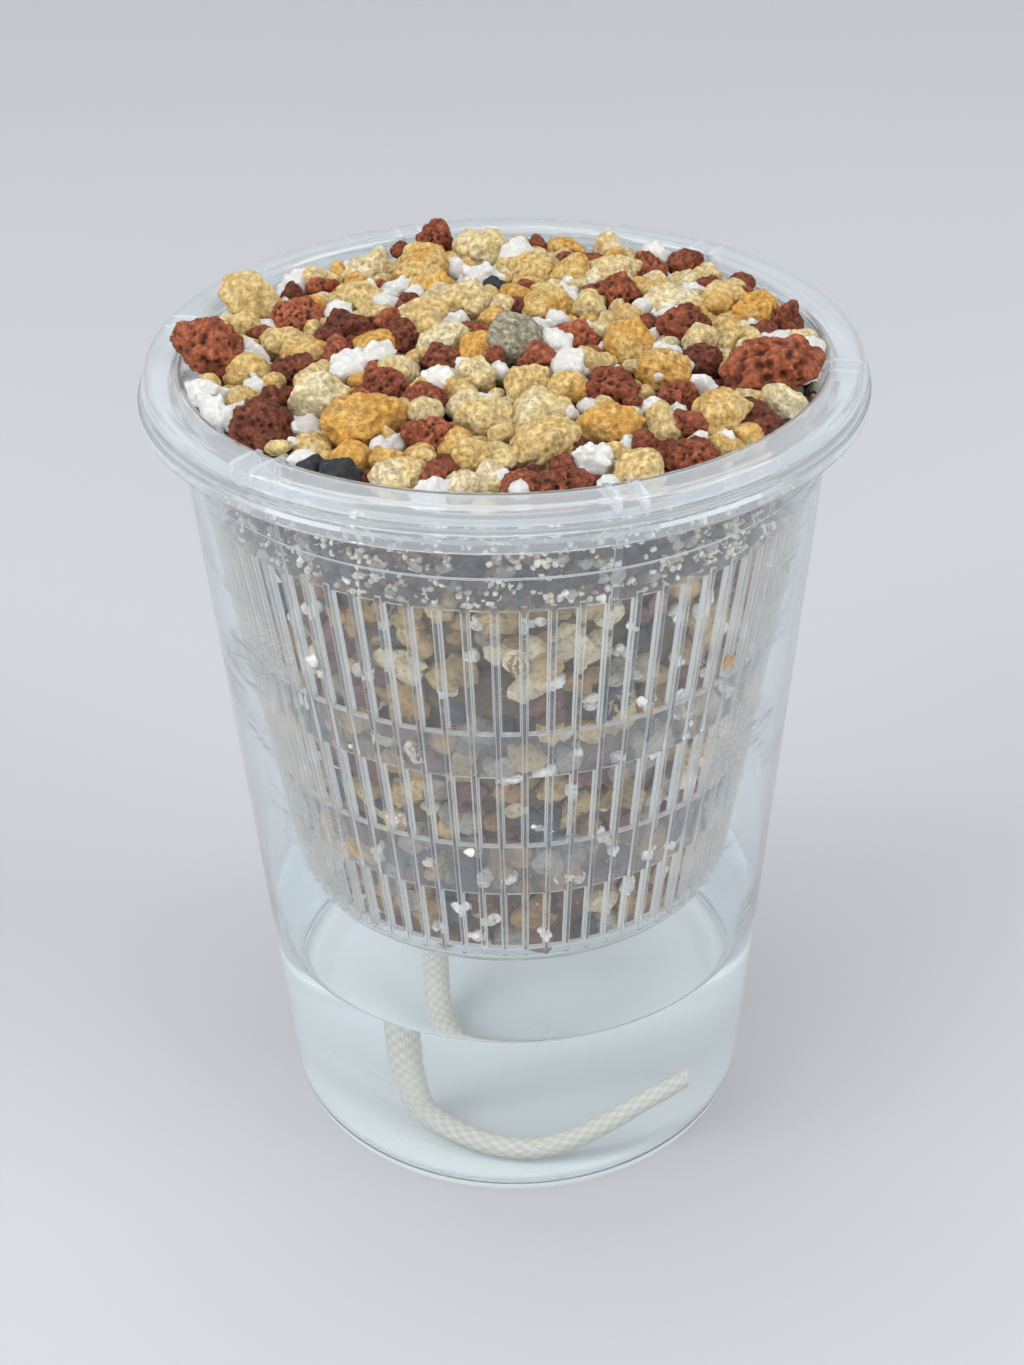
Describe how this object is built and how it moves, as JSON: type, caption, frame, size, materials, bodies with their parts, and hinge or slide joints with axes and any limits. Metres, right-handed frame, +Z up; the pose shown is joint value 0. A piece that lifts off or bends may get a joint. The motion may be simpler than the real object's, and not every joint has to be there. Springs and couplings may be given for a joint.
{
  "type": "self-watering pot",
  "caption": "Clear tapered water cup with a slotted net pot of gravel mix hanging in its mouth, dressed with loose stones; a rope wick runs from the mix down into the water.",
  "frame": {"origin": "middle of the cup's foot, on the surface it stands on", "axes": "+Z up along the cup's axis, -Y towards the viewer of the picture, +X to the viewer's right"},
  "size_m": [0.1174, 0.1174, 0.1544],
  "materials": {
    "cup": "gloss",
    "pot": "gloss",
    "water": "polished",
    "wick": "matte",
    "coarse_mix": "matte",
    "fine_grit": "matte",
    "pumice": "matte",
    "lava": "matte",
    "perlite": "matte",
    "charcoal": "matte",
    "granite": "matte"
  },
  "bodies": {
    "reservoir": {"reservoir_cup": "cup", "water": "water"},
    "basket": {"net_pot": "pot", "coarse_mix": "coarse_mix", "fine_grit": "fine_grit", "wick_buried": "wick", "wick_tail": "wick", "pumice_01": "pumice", "pumice_02": "pumice", "pumice_03": "pumice", "pumice_04": "pumice", "pumice_05": "pumice", "pumice_06": "pumice", "pumice_07": "pumice", "pumice_08": "pumice", "pumice_09": "pumice", "pumice_10": "pumice", "pumice_11": "pumice", "pumice_12": "pumice", "pumice_13": "pumice", "pumice_14": "pumice", "pumice_15": "pumice", "pumice_16": "pumice", "pumice_17": "pumice", "pumice_18": "pumice", "pumice_19": "pumice", "pumice_20": "pumice", "pumice_21": "pumice", "pumice_22": "pumice", "pumice_23": "pumice", "pumice_24": "pumice", "pumice_25": "pumice", "pumice_26": "pumice", "pumice_27": "pumice", "pumice_28": "pumice", "lava_01": "lava", "lava_02": "lava", "lava_03": "lava", "lava_04": "lava", "lava_05": "lava", "lava_06": "lava", "lava_07": "lava", "lava_08": "lava", "lava_09": "lava", "lava_10": "lava", "lava_11": "lava", "lava_12": "lava", "lava_13": "lava", "lava_14": "lava", "lava_15": "lava", "lava_16": "lava", "lava_17": "lava", "lava_18": "lava", "perlite_01": "perlite", "perlite_02": "perlite", "perlite_03": "perlite", "perlite_04": "perlite", "perlite_05": "perlite", "charcoal_01": "charcoal", "granite_01": "granite"}
  },
  "joints": [
    {"name": "basket_lift", "type": "slide", "parent": "reservoir", "child": "basket", "axis": [0, 0, 1], "range_m": [0, 0.15], "deforming": ["water"]}
  ]
}
